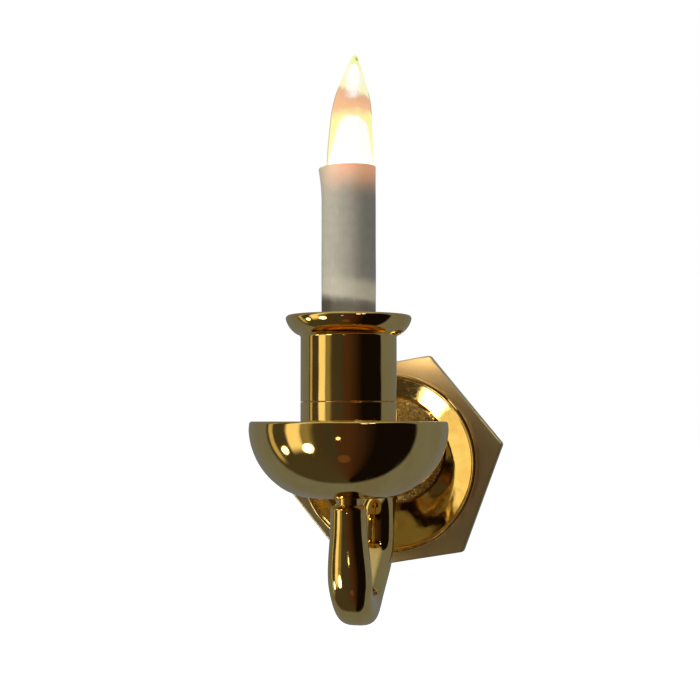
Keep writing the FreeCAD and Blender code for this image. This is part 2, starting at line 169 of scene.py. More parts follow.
def ease(t):
    """0 to 1 with a soft start and end."""
    t = min(max(t, 0.0), 1.0)
    return t * t * (3 - 2 * t)


# ---- Node tools ------------------------------------------------------------------------------------------

class Nodes:
    """A short way to write a node tree. An input is a value or another node's output."""

    def __init__(self, tree):
        self.tree = tree
        tree.nodes.clear()

    def add(self, kind, settings=None, **inputs):
        """A new node with its settings and inputs. An underscore in an input's name stands for a space."""
        node = self.tree.nodes.new("ShaderNode" + kind)
        for key, value in (settings or {}).items():
            setattr(node, key, value)
        for key, value in inputs.items():
            self.feed(node.inputs[key.replace("_", " ")], value)
        return node

    def feed(self, socket, value):
        """Links a node's output to a socket, or sets the socket to a value."""
        if isinstance(value, bpy.types.NodeSocket):
            self.tree.links.new(value, socket)
        else:
            socket.default_value = value

    def feed_all(self, sockets, values):
        """Feeds each socket its value, in order."""
        for socket, value in zip(sockets, values):
            self.feed(socket, value)

    def math(self, operation, *values):
        """The result of a math operation."""
        node = self.add("Math", {"operation": operation})
        self.feed_all(node.inputs, values)
        return node.outputs[0]

    def product(self, first, *others):
        """The product of several values."""
        for value in others:
            first = self.math("MULTIPLY", first, value)
        return first

    def steps(self, value, low, high, to_low=0.0, to_high=1.0):
        """A soft change from to_low to to_high as value goes from low to high."""
        node = self.add("MapRange", {"interpolation_type": "SMOOTHSTEP"})
        self.feed_all(node.inputs, (value, low, high, to_low, to_high))
        return node.outputs[0]

    def ramp(self, value, low, high, stops):
        """A colour that runs through stops of share and tint as value goes from low to high."""
        share = self.add("MapRange", {"interpolation_type": "LINEAR"})
        self.feed_all(share.inputs, (value, low, high, 0.0, 1.0))
        node = self.add("ValToRGB")
        self.feed(node.inputs[0], share.outputs[0])
        elements = node.color_ramp.elements
        while len(elements) < len(stops):
            elements.new(1.0)
        for element, (position, tint) in zip(elements, stops):
            element.position = position
            element.color = rgb(*tint)
        return node.outputs[0]

    def mix(self, share, first, second):
        """The colour a share of the way from the first to the second."""
        node = self.add("Mix", {"data_type": "RGBA", "blend_type": "MIX"})
        self.feed_all((node.inputs[0], node.inputs[6], node.inputs[7]), (share, first, second))
        return node.outputs[2]

    def place(self, stretch=(1, 1, 1)):
        """Object coordinates in millimetres, stretched along each axis."""
        coordinates = self.add("TexCoord").outputs["Object"]
        scale = [s / MM for s in stretch]
        return self.add("Mapping", Vector=coordinates, Scale=scale).outputs[0]

    def noise(self, size, detail=3.0, stretch=(1, 1, 1)):
        """Noise with blotches of about size millimetres."""
        node = self.add("TexNoise", Vector=self.place(stretch), Scale=1 / size, Detail=detail, Roughness=0.5)
        return node.outputs["Fac"]

    def wander(self, size, detail, reach):
        """Noise about 0 that stays within half of reach."""
        return self.math("MULTIPLY", self.math("SUBTRACT", self.noise(size, detail), 0.5), reach)


def rgb(red, green, blue):
    """An opaque linear colour."""
    return (red, green, blue, 1.0)


def surface(name):
    """A new material's nodes and its principled shader."""
    material = bpy.data.materials.new(name)
    material.use_nodes = True
    nodes = Nodes(material.node_tree)
    shader = nodes.add("BsdfPrincipled")
    nodes.add("OutputMaterial", Surface=shader.outputs[0])
    return material, nodes, shader


def bumped(nodes, shader, *layers):
    """Stacks bumps on a shader. Each layer is a height and what a height of 1 stands for, in millimetres."""
    normal = None
    for height, depth in layers:
        bump = nodes.add("Bump", Height=height, Strength=1.0, Distance=depth * MM)
        if normal:
            nodes.feed(bump.inputs["Normal"], normal)
        normal = bump.outputs[0]
    nodes.feed(shader.inputs["Normal"], normal)


# ---- Materials -------------------------------------------------------------------------------------------

GOLD = rgb(0.94, 0.69, 0.25)
DEEP_GOLD = rgb(0.88, 0.60, 0.19)
TARNISH = rgb(0.42, 0.26, 0.10)


def polished_gold(name, ripple, stretch=(1, 1, 1)):
    """Bright plate with faint ripples, small pits and slightly cloudy patches."""
    material, nodes, shader = surface(name)
    rough = 0.045
    clouds = nodes.noise(1.6, 4.0, stretch)
    specks = nodes.steps(nodes.noise(0.12, 2.0), 0.70, 0.78)
    colour = nodes.mix(nodes.steps(clouds, 0.35, 0.7), GOLD, DEEP_GOLD)
    colour = nodes.mix(nodes.math("MULTIPLY", specks, 0.5), colour, TARNISH)
    nodes.feed(shader.inputs["Base Color"], colour)
    shader.inputs["Metallic"].default_value = 1.0
    haze = nodes.steps(nodes.noise(0.5, 5.0, stretch), 0.4, 0.75, rough, rough + 0.07)
    nodes.feed(shader.inputs["Roughness"], nodes.math("ADD", haze, nodes.math("MULTIPLY", specks, 0.2)))
    bumped(
        nodes,
        shader,
        (nodes.noise(1.1, 2.0, stretch), ripple * 6),
        (nodes.noise(0.09, 2.0), ripple * 0.35),
    )
    return material


def dish_gold():
    """Plated casting: polished rim and cove, grainy floor, and grain that creeps up the rim at the left."""
    material, nodes, shader = surface("dish_gold")
    place = nodes.add("SeparateXYZ", Vector=nodes.place()).outputs
    crust_low, crust_high = 5.95, 6.15

    def radius(x, z):
        """The distance from an axis through x and z."""
        parts = []
        for axis, off in ((0, x), (2, z)):
            parts.append(nodes.math("POWER", nodes.math("SUBTRACT", place[axis], off), 2.0))
        return nodes.math("SQRT", nodes.math("ADD", *parts))

    ragged = nodes.wander(0.35, 4.0, 0.5)
    from_floor = nodes.math("ADD", radius(*FLOOR_SHIFT), ragged)
    from_axis = nodes.math("ADD", radius(0.0, 0.0), ragged)
    on_floor = nodes.steps(from_floor, FLOOR_R - 0.15, FLOOR_R + 0.1, 1.0, 0.0)
    crust = nodes.steps(nodes.noise(1.5, 3.0), 0.56, 0.66)
    at_left = nodes.steps(place[0], 0.5, 3.0, 1.0, 0.0)
    on_rim = nodes.product(nodes.steps(from_axis, crust_low, crust_high), crust, at_left)
    grainy = nodes.math("MAXIMUM", on_floor, on_rim)
    grain = nodes.add("TexVoronoi", Vector=nodes.place(), Scale=1 / 0.11).outputs["Distance"]
    fine = nodes.noise(0.06, 4.0)
    height = nodes.product(nodes.math("ADD", grain, fine), grainy)
    colour = nodes.mix(nodes.steps(nodes.noise(1.4, 4.0), 0.35, 0.7), GOLD, DEEP_GOLD)
    pits = nodes.product(grainy, nodes.steps(fine, 0.35, 0.6, 0.65, 0.0))
    colour = nodes.mix(pits, colour, TARNISH)
    nodes.feed(shader.inputs["Base Color"], colour)
    shader.inputs["Metallic"].default_value = 1.0
    haze = nodes.steps(nodes.noise(0.5, 5.0), 0.4, 0.75, 0.07, 0.16)
    nodes.feed(shader.inputs["Roughness"], nodes.math("ADD", haze, nodes.math("MULTIPLY", grainy, 0.16)))
    bumped(nodes, shader, (nodes.noise(0.9, 3.0), 0.006), (height, 0.024))
    return material


def satin_gold():
    """Stamped sheet with a fine sanded grain, bowed back a little towards its top."""
    material, nodes, shader = surface("satin_gold")
    bow_rate = -0.0175  # millimetres back per square millimetre of height
    clouds = nodes.noise(3.0, 4.0)
    lines = nodes.noise(0.05, 4.0, (0.12, 1.0, 1.0))
    colour = nodes.mix(nodes.steps(clouds, 0.35, 0.7), rgb(0.94, 0.80, 0.45), rgb(0.88, 0.74, 0.40))
    nodes.feed(shader.inputs["Base Color"], colour)
    shader.inputs["Metallic"].default_value = 0.85
    nodes.feed(shader.inputs["Roughness"], nodes.steps(lines, 0.3, 0.7, 0.29, 0.32))
    up = nodes.add("SeparateXYZ", Vector=nodes.place()).outputs[2]
    bow = nodes.product(nodes.math("POWER", nodes.math("MAXIMUM", up, 0.0), 2.0), bow_rate)
    bumped(nodes, shader, (bow, 1.0), (clouds, 0.004), (lines, 0.0004), (nodes.noise(0.05, 3.0), 0.0003))
    return material


def plain_metal(name, light, dark, rough):
    """Small fittings: drawn or soldered metal with dull patches."""
    material, nodes, shader = surface(name)
    patches = nodes.noise(0.3, 4.0)
    nodes.feed(shader.inputs["Base Color"], nodes.mix(nodes.steps(patches, 0.35, 0.7), light, dark))
    shader.inputs["Metallic"].default_value = 1.0
    nodes.feed(shader.inputs["Roughness"], nodes.steps(patches, 0.3, 0.7, rough, rough + 0.18))
    bumped(nodes, shader, (patches, 0.008), (nodes.noise(0.06, 3.0), 0.002))
    return material


def moulded(name, light, dark, rough):
    """Moulded or drawn plastic with a faint mottle."""
    material, nodes, shader = surface(name)
    mottle = nodes.noise(0.35, 4.0)
    nodes.feed(shader.inputs["Base Color"], nodes.mix(nodes.steps(mottle, 0.3, 0.7), light, dark))
    nodes.feed(shader.inputs["Roughness"], nodes.steps(mottle, 0.3, 0.7, rough, rough + 0.15))
    bumped(nodes, shader, (mottle, 0.004), (nodes.noise(0.05, 3.0), 0.0015))
    return material


def sleeve_plastic(lip_z, high):
    """Thin white tubing with draw lines, a painted glow at its mouth from the bulb, and above the cup a
    painted shadow and a pale band of painted light from the flange.
    """
    material, nodes, shader = surface("sleeve_plastic")
    place = nodes.add("SeparateXYZ", Vector=nodes.place()).outputs
    across = place[0]
    draw_lines = nodes.noise(0.16, 3.0, (1.0, 1.0, 0.04))
    mottle = nodes.noise(0.5, 4.0)
    height = nodes.math("ADD", place[2], nodes.wander(0.9, 2.0, 0.4))
    colour = nodes.mix(nodes.steps(mottle, 0.3, 0.75), rgb(0.81, 0.80, 0.73), rgb(0.75, 0.74, 0.67))
    colour = nodes.mix(nodes.steps(draw_lines, 0.45, 0.75, 0.0, 0.35), colour, rgb(0.69, 0.67, 0.60))

    # The painted shadow and the painted band of light above it slope down to the right, and the painted
    # shadow ends inside the cup
    slope = 0.16
    lip = nodes.math("SUBTRACT", lip_z, nodes.product(across, slope))
    above_lip = nodes.math("SUBTRACT", height, lip)
    # Painted shadow of the cup's flange on the sleeve: darkest at the left, fading out inside the cup
    painted_shadow = nodes.product(
        nodes.steps(above_lip, 0.55, 1.35, 1.0, 0.0),
        nodes.steps(across, -1.8, 1.6, 0.97, 0.49),
        nodes.steps(above_lip, -2.6, -1.8),
    )
    colour = nodes.mix(painted_shadow, colour, rgb(0.08, 0.07, 0.045))
    nodes.feed(shader.inputs["Base Color"], colour)
    nodes.feed(shader.inputs["Roughness"], nodes.steps(mottle, 0.3, 0.7, 0.28, 0.42))

    # Painted light at the mouth, where the bulb shines through the tubing; it is dimmer at the far left
    glow = nodes.product(
        nodes.steps(height, high - 2.2, high - 0.1, 0.0, 0.48),
        nodes.steps(across, -1.9, -0.5, 0.12, 1.0),
    )
    # Painted light: a pale band of light thrown up from the cup's flange, brightest at the right
    painted_flange_light = nodes.product(
        nodes.steps(above_lip, 1.9, 2.8, 1.0, 0.0),
        nodes.steps(above_lip, 0.9, 1.3),
        nodes.steps(across, -2.0, 1.2, 0.02, 0.17),
    )
    # Colours of the painted light: pale yellow at the cup's lip, orange at the mouth
    painted_light_tints = nodes.mix(nodes.steps(place[2], lip_z, high), rgb(1.0, 0.94, 0.62), rgb(1.0, 0.38, 0.13))
    nodes.feed(shader.inputs["Emission Color"], painted_light_tints)
    nodes.feed(shader.inputs["Emission Strength"], nodes.math("ADD", glow, painted_flange_light))
    shader.inputs["Subsurface Weight"].default_value = 0.2
    shader.inputs["Subsurface Radius"].default_value = (1.0, 0.62, 0.42)
    shader.inputs["Subsurface Scale"].default_value = 0.10 * MM
    fine, finest = nodes.noise(0.22, 3.0), nodes.noise(0.05, 3.0)
    bumped(nodes, shader, (draw_lines, 0.006), (fine, 0.010), (finest, 0.0015))
    return material


# The envelope's colours at its edge, and how white its middle is, by share of its height
ENVELOPE_EDGE = [
    (0.30, (1.0, 0.97, 0.50)),
    (0.55, (0.99, 0.95, 0.37)),
    (0.585, (0.98, 0.76, 0.36)),
    (0.62, (0.95, 0.53, 0.28)),
    (0.70, (0.84, 0.46, 0.27)),
    (0.735, (0.80, 0.50, 0.30)),
    (0.77, (0.98, 0.94, 0.55)),
    (0.90, (0.96, 0.98, 0.72)),
    (0.965, (0.92, 0.95, 0.40)),
]
ENVELOPE_CORE = [
    (0.20, 0.75),
    (0.33, 0.50),
    (0.46, 0.34),
    (0.53, 0.22),
    (0.585, 0.0),
    (0.655, 0.0),
    (0.69, 0.17),
    (0.76, 0.27),
    (0.86, 0.42),
    (0.92, 0.38),
    (0.95, 0.0),
]


def bulb_envelope(low, high):
    """Stands for glass lit from inside: white where it faces out, yellow edges, and peach below the tip."""
    material, nodes, shader = surface("bulb_envelope")
    place = nodes.add("SeparateXYZ", Vector=nodes.place()).outputs
    across, up = place[0], place[2]
    wobble = nodes.wander(0.7, 4.0, 0.8)
    torn = nodes.wander(0.25, 3.0, 0.7)

    def at(share):
        """The height at a share of the envelope's height."""
        return blend(low, high, share)

    # The top of the peach zone slopes down to the right
    slant = nodes.product(across, nodes.steps(up, at(0.60), at(0.72), 0.0, 0.45))
    level = nodes.math("ADD", nodes.math("ADD", up, wobble), slant)
    edge = nodes.ramp(level, low, high, ENVELOPE_EDGE)

    # White core, which reaches further out at the right in the lower half
    core_level = nodes.math("ADD", up, nodes.product(wobble, 0.3))
    core = nodes.ramp(core_level, low, high, [(share, (grey,) * 3) for share, grey in ENVELOPE_CORE])
    lower_half = nodes.steps(up, at(0.50), at(0.55), 0.15, 0.0)
    core = nodes.math("ADD", core, nodes.product(nodes.steps(across, 0.3, 0.9), lower_half))
    facing = nodes.add("LayerWeight", Blend=0.5).outputs["Facing"]
    turned_away = nodes.math("ADD", facing, nodes.product(torn, 0.25))
    white = nodes.steps(nodes.math("SUBTRACT", nodes.math("SUBTRACT", core, 0.12), turned_away), -0.14, 0.06)
    colour = nodes.mix(white, edge, rgb(1.0, 1.0, 0.96))

    # Tan outline: at the left as far up as the peach zone, and on both sides of the zone
    at_left = nodes.product(
        nodes.steps(across, -0.3, -0.6, 0.0, 0.75),
        nodes.steps(up, at(0.70), at(0.64)),
    )
    by_the_peach = nodes.product(
        nodes.steps(up, at(0.75), at(0.72), 0.0, 0.8),
        nodes.steps(up, at(0.57), at(0.60)),
    )
    outlined = nodes.product(nodes.steps(facing, 0.62, 0.84), nodes.math("MAXIMUM", at_left, by_the_peach))
    colour = nodes.mix(outlined, colour, rgb(0.42, 0.30, 0.17))

    # Dark speck beside the drawn tip
    speck_place = (0.62, CANDLE_Y - 0.18, high - 0.28)
    speck = nodes.add("VectorMath", {"operation": "DISTANCE"})
    nodes.feed_all(speck.inputs, (nodes.place(), speck_place))
    speck_share = nodes.steps(speck.outputs["Value"], 0.20, 0.08, 0.0, 0.7)
    colour = nodes.mix(speck_share, colour, rgb(0.22, 0.25, 0.04))

    nodes.feed(shader.inputs["Emission Color"], colour)
    nodes.feed(shader.inputs["Emission Strength"], nodes.steps(level, low, high, 0.98, 0.94))
    nodes.feed(shader.inputs["Base Color"], nodes.mix(white, rgb(0.10, 0.08, 0.05), rgb(0.22, 0.20, 0.16)))
    nodes.feed(shader.inputs["Roughness"], nodes.steps(nodes.noise(0.3, 3.0), 0.3, 0.7, 0.28, 0.42))
    shader.inputs["IOR"].default_value = 1.3
    bumped(nodes, shader, (nodes.noise(0.8, 2.0), 0.01))
    return material


def glowing_wire():
    """Hot tungsten, a little cooler in places."""
    material, nodes, shader = surface("glowing_wire")
    heat = nodes.steps(nodes.noise(0.2, 2.0), 0.3, 0.7)
    nodes.feed(shader.inputs["Emission Color"], nodes.mix(heat, rgb(1.0, 0.62, 0.25), rgb(1.0, 0.80, 0.45)))
    shader.inputs["Emission Strength"].default_value = 40.0
    shader.inputs["Base Color"].default_value = rgb(0.3, 0.25, 0.2)
    shader.inputs["Roughness"].default_value = 0.5
    return material


# ---- Wall pieces -----------------------------------------------------------------------------------------

PLATE_TURN = math.radians(9.6)
PLATE_CORNER_R = 8.35
PLATE_CORNER_ROUND = 0.28


def hexagon_ring(inset, depth):
    """One ring of the plate's hexagon with its rounded corners, moved inwards by inset."""
    flat = PLATE_CORNER_R * math.cos(math.pi / 6) - inset
    corner = max(PLATE_CORNER_ROUND - inset, 0.02)
    centre_r = (flat - corner) / math.cos(math.pi / 6)
    per_side = ROUND_STEPS // 6
    ring = []
    for side in range(6):
        axis = PLATE_TURN + math.tau * side / 6
        middle = (centre_r * math.cos(axis), centre_r * math.sin(axis))
        for i in range(per_side):
            angle = axis + math.pi / 3 * (i / (per_side - 1) - 0.5)
            ring.append((middle[0] + corner * math.cos(angle), -depth, middle[1] + corner * math.sin(angle)))
    return ring


def hex_back_plate(material):
    """The stamped hexagon, with a soft front edge, a sharper back edge and the bore for the bush."""
    low, high = mm_box("hex_back_plate")
    thick = high.y - low.y
    bore = half_width(mm_box("wire_exit_bush")) + FIT
    front_round, back_round = 0.14, 0.03
    soft_edge = ((front_round * 0.3, thick - front_round * 0.3), (front_round, thick))
    profile = outline((0.0, back_round), [(0.0, thick - front_round), soft_edge])
    rings = [hexagon_ring(back_round, 0.0)]
    rings += [hexagon_ring(inset, depth) for inset, depth in profile]
    start = PLATE_TURN - math.pi / 6
    angles = [start + math.tau * (i + 0.5) / ROUND_STEPS for i in range(ROUND_STEPS)]
    for depth in (thick, 0.0):
        rings.append([(bore * math.cos(a), -depth, bore * math.sin(a)) for a in angles])
    plate = skin("hex_back_plate_satin", rings)
    return finish_piece(plate, "bracket", "satin_brass", material, "hex_back_plate")


# The dish's raised floor and how far it sits to the right of and above the dish's axis
FLOOR_R = 3.7
FLOOR_SHIFT = (0.42, 0.86)
FOOT_R = FLOOR_R + 0.12
FOOT_DEPTH = 1.5

# The cove is a cone of this slope from the crest in to a radius that is least at one angle
CONE_SLOPE = math.tan(math.radians(22))
CONE_IN_R = 5.6
CONE_EXTRA = 1.0
WIDEST_CONE = math.radians(25)


def cove_depth(r, angle, crest_r, crest_depth, toe_r):
    """The cove's depth: a cone below the crest, widest at the right, that eases to the foot at toe_r."""
    cone_in = CONE_IN_R - CONE_EXTRA * max(math.cos(angle - WIDEST_CONE), 0.0) ** 2
    cone_depth = crest_depth - (crest_r - max(r, cone_in)) * CONE_SLOPE
    if r >= cone_in:
        return cone_depth
    drop = max(cone_depth - FOOT_DEPTH, 0.01)
    power = max(CONE_SLOPE * (cone_in - toe_r) / drop, 1.0)
    return FOOT_DEPTH + drop * max((r - toe_r) / (cone_in - toe_r), 0.0) ** power


def rosette_dish(material):
    """The cast dish: side wall, narrow crest, conical cove, and a grainy raised floor off its centre."""
    low, high = mm_box("rosette_dish")
    back, front = -high.y, -low.y
    dish_r = half_width((low, high))
    floor_depth = -mm_box("arm_solder_ring")[1].y
    bore = NECK_R + FIT
    crest = dish_r - 0.28
    cove_r, cove_top = crest - 0.16, front - 0.075
    wall = outline(
        (bore, back),
        [
            (dish_r - 0.04, back),
            ((dish_r - 0.012, back + 0.012), (dish_r, back + 0.04)),
            (dish_r - 0.1, front - 0.17),
            ((dish_r - 0.16, front - 0.045), (crest, front)),
            ((crest - 0.09, front - 0.02), (cove_r, cove_top)),
        ],
    )
    soft_edge = ((FLOOR_R + 0.06, floor_depth - 0.05), (FLOOR_R - 0.02, floor_depth))
    step = outline((FOOT_R, FOOT_DEPTH), [soft_edge])

    def shifted(r, depth, share=1.0):
        """A ring a share of the way from the dish's axis to the floor's."""
        x, z = FLOOR_SHIFT[0] * share, FLOOR_SHIFT[1] * share
        return [(x + r * math.cos(a), -depth, z + r * math.sin(a)) for a in around()]

    rings = [shifted(r, depth, 0.0) for r, depth in wall]
    cove_steps = 32
    for i in range(1, cove_steps):
        share = i / cove_steps
        ring = []
        for x, _, z in shifted(blend(cove_r, FOOT_R, share), 0.0, share):
            r, angle = math.hypot(x, z), math.atan2(z, x)
            toe_x = FLOOR_SHIFT[0] + FOOT_R * math.cos(angle)
            toe_z = FLOOR_SHIFT[1] + FOOT_R * math.sin(angle)
            ring.append((x, -cove_depth(r, angle, cove_r, cove_top, math.hypot(toe_x, toe_z)), z))
        rings.append(ring)
    rings += [shifted(r, depth) for r, depth in step]
    rings += [shifted(FLOOR_R * 0.55, floor_depth), shifted(bore, floor_depth, 0.0)]
    dish = skin("rosette_dish_cast", rings)
    return finish_piece(dish, "bracket", "plated_brass", material, "rosette_dish")


# ---- Arm -------------------------------------------------------------------------------------------------

# Radius and headings of each bend, as the arm goes down, round and back to the wall. A heading of 0 is level
# and -90 is straight down.
ARM_TURNS = [
    (14.0, -90.0, -76.0),
    (2.8, -76.0, 36.0),
    (2.4, 36.0, 82.0),
    (2.4, 82.0, 42.0),
    (2.5, 42.0, 0.0),
]

# Lengths of the straight runs before bends 2 and 3
RISE_RUN = 3.4
STEEP_RUN = 1.0

ARM_TOP_Z = -2.85
NECK_R = 0.8
ARM_BORE_R = 0.45
SHOULDER_HEIGHT = 0.5

# Half width across, half depth and squareness of the section, by place along the arm. Place 2n is the start
# of the straight run before bend n, and 2n + 1 the start of that bend. A squareness of 2 is an ellipse. No
# ring is between places 2 and 3, because bend 1 follows bend 0 directly.
ARM_SECTIONS = [
    (0.0, (1.17, 1.17, 2.0)),
    (0.9, (1.20, 1.175, 2.0)),
    (2.0, (1.42, 1.215, 2.2)),
    (3.0, (1.42, 1.215, 2.2)),
    (3.4, (1.30, 1.185, 2.8)),
    (3.65, (1.26, 1.18, 3.0)),
    (4.0, (1.25, 1.18, 2.3)),
    (5.0, (1.33, 1.17, 2.1)),
    (8.1, (1.33, 1.17, 2.0)),
    (8.9, (1.25, 1.205, 2.0)),
    (9.5, (1.22, 1.22, 2.0)),
    (10.0, (1.22, 1.22, 2.0)),
]


# Rings in each straight run and in each bend, how much the limb swells or thins, and where the tenon ends
ARM_RUN_STEPS = 8
ARM_TURN_STEPS = 40
ARM_SWELL = 0.02
TENON_END = -0.73


def turn_step(radius, first_deg, last_deg):
    """How far an arc moves back from the candle and up, as its heading turns from first to last."""
    first, last = math.radians(first_deg), math.radians(last_deg)
    side = 1.0 if last > first else -1.0
    back = side * radius * (math.sin(last) - math.sin(first))
    up = -side * radius * (math.cos(last) - math.cos(first))
    return back, up


def arm_line(end_depth):
    """Points of the arm's centre line: place along the arm, depth from the candle, height and heading."""
    back = sum(turn_step(*turn)[0] for turn in ARM_TURNS)
    up = sum(turn_step(*turn)[1] for turn in ARM_TURNS)
    for length, heading in ((RISE_RUN, ARM_TURNS[2][1]), (STEEP_RUN, ARM_TURNS[3][1])):
        back += length * math.cos(math.radians(heading))
        up += length * math.sin(math.radians(heading))
    slope = math.radians(ARM_TURNS[-1][1])
    last = (-CANDLE_Y - end_depth - back) / math.cos(slope)
    runs = [ARM_TOP_Z + up + last * math.sin(slope), 0.0, RISE_RUN, STEEP_RUN, last]
    line = []
    y, z = CANDLE_Y, ARM_TOP_Z
    for number, (run, (radius, first, last_deg)) in enumerate(zip(runs, ARM_TURNS)):
        heading = math.radians(first)
        step_y, step_z = run * math.cos(heading), run * math.sin(heading)
        if run:
            for i in range(ARM_RUN_STEPS):
                share = i / ARM_RUN_STEPS
                line.append((2 * number + share, y + step_y * share, z + step_z * share, heading))
        y += step_y
        z += step_z
        for i in range(ARM_TURN_STEPS):
            share = i / ARM_TURN_STEPS
            angle = blend(first, last_deg, share)
            step_y, step_z = turn_step(radius, first, angle) if share else (0.0, 0.0)
            line.append((2 * number + 1 + share, y + step_y, z + step_z, math.radians(angle)))
        step_y, step_z = turn_step(radius, first, last_deg)
        y += step_y
        z += step_z
    line.append((2.0 * len(ARM_TURNS), y, z, 0.0))
    return line


def arm_section(place):
    """The section's half width, half depth and squareness at a place along the arm."""
    for (low, first), (high, second) in zip(ARM_SECTIONS, ARM_SECTIONS[1:]):
        if place <= high:
            share = ease((place - low) / (high - low))
            return [blend(a, b, share) for a, b in zip(first, second)]
    return ARM_SECTIONS[-1][1]


def arm_ring(y, z, heading, wide, deep, square=2.0, count=96):
    """An oval ring across the arm's centre line."""
    ring = []
    for angle in around(count):
        side = math.copysign(abs(math.cos(angle)) ** (2 / square), math.cos(angle))
        off = deep * math.copysign(abs(math.sin(angle)) ** (2 / square), math.sin(angle))
        ring.append((wide * side, y + off * math.sin(heading), z - off * math.cos(heading)))
    return ring


def scroll_arm(material):
    """The hollow arm with its neck, rounded shoulder, oval limb and the tenon through the dish."""
    top = mm_box("scroll_arm")[1].z
    down = math.radians(-90)
    shoulder_top = ARM_TOP_Z + SHOULDER_HEIGHT
    full = ARM_SECTIONS[0][1][0]
    bulge = (NECK_R + (full - NECK_R) * 0.72, ARM_TOP_Z + SHOULDER_HEIGHT * 0.74)
    neck = outline((NECK_R, top), [(NECK_R, shoulder_top), (bulge, (full, ARM_TOP_Z))])
    rings = [arm_ring(CANDLE_Y, z, down, r, r) for r, z in neck]
    end_depth = -mm_box("arm_solder_ring")[1].y
    line = arm_line(end_depth)
    for place, y, z, heading in line[1:]:
        wide, deep, square = arm_section(place)
        swell = ARM_SWELL * noise.noise(Vector((0.0, y * 0.5, z * 0.5)))
        rings.append(arm_ring(y, z, heading, wide + swell, deep + swell, square))
    rings += [arm_ring(y, 0.0, 0.0, NECK_R, NECK_R) for y in (-end_depth, TENON_END)]
    bore = [(TENON_END, 0.0, 0.0)] + [step[1:] for step in reversed(line)] + [(CANDLE_Y, top, down)]
    rings += [arm_ring(y, z, heading, ARM_BORE_R, ARM_BORE_R) for y, z, heading in bore]
    arm = skin("scroll_arm_cast", rings)
    return finish_piece(arm, "bracket", "plated_brass", material, "scroll_arm")


# ---- Pieces on the candle axis ---------------------------------------------------------------------------

def drip_pan(material):
    """A deep round pan with a rounded lip, sides that turn in and a flat foot."""
    low, high = mm_box("drip_pan")
    pan_r = half_width((low, high))
    rim, bottom = high.z, low.z
    depth = rim - bottom
    cup = mm_box("cup_base")
    cup_r, floor = half_width(cup), cup[0].z
    bore = NECK_R + FIT
    foot_r, wall, lip = 2.2, 0.4, 0.2
    points = outline(
        (bore, bottom),
        [
            (foot_r, bottom),
            ((pan_r * 0.558, rim - depth * 0.948), (pan_r * 0.72, rim - depth * 0.825)),
            ((pan_r * 0.922, rim - depth * 0.5), (pan_r, rim - 0.55)),
            (pan_r - 0.03, rim - lip),
            ((pan_r - lip, rim), (pan_r - wall, rim - lip)),
            ((pan_r * 0.83, rim - depth * 0.5), (cup_r + 0.25, floor)),
            (bore, floor),
        ],
    )
    return finish_piece(lathe("drip_pan_turned", points), "bracket", "plated_brass", material, "drip_pan")


def cup_base(material):
    """The lower ring of the cup, with a small round at its seam and a soft foot."""
    low, high = mm_box("cup_base")
    cup_r = half_width((low, high))
    bore_r, floor = 2.4, low.z + 0.6
    bore = NECK_R + FIT
    points = outline(
        (bore, low.z),
        [
            (cup_r - 0.05, low.z),
            ((cup_r - 0.015, low.z + 0.015), (cup_r, low.z + 0.05)),
            (cup_r, high.z - 0.04),
            ((cup_r - 0.01, high.z - 0.012), (cup_r - 0.04, high.z)),
            (bore_r, high.z),
            (bore_r, floor),
            (bore, floor),
        ],
    )
    return finish_piece(lathe("cup_base_turned", points), "bracket", "cup_brass", material, "cup_base")


def candle_cup(material):
    """The upper cup: plug, barrel, bowl-shaped flange and flared mouth."""
    low, high = mm_box("candle_cup")
    base = mm_box("cup_base")
    cup_r = half_width(base)
    flange_r = half_width((low, high))
    top, seam = high.z, base[1].z + 0.03
    throat = SLEEVE_R + 0.05
    floor = SLEEVE_LOW.z - 0.03
    foot_bore, foot_r, plug_r = 1.02, 1.88, 2.38
    plug_low = seam - 0.8
    points = outline(
        (foot_bore, low.z),
        [
            (foot_r, low.z),
            (foot_r, plug_low),
            (plug_r, plug_low),
            (plug_r, seam),
            (cup_r - 0.04, seam),
            ((cup_r - 0.01, seam + 0.012), (cup_r, seam + 0.04)),
            (cup_r, top - 1.5),
            ((cup_r + 0.03, top - 1.35), (cup_r + 0.2, top - 1.25)),
            ((flange_r - 0.24, top - 0.8), (flange_r, top - 0.3)),
            ((flange_r - 0.1, top - 0.03), (flange_r - 0.42, top - 0.12)),
            ((SLEEVE_R + 0.72, top - 1.05), (throat, top - 1.5)),
            (throat, floor),
            (foot_bore, floor),
        ],
    )
    return finish_piece(lathe("candle_cup_turned", points), "bracket", "cup_brass", material, "candle_cup")


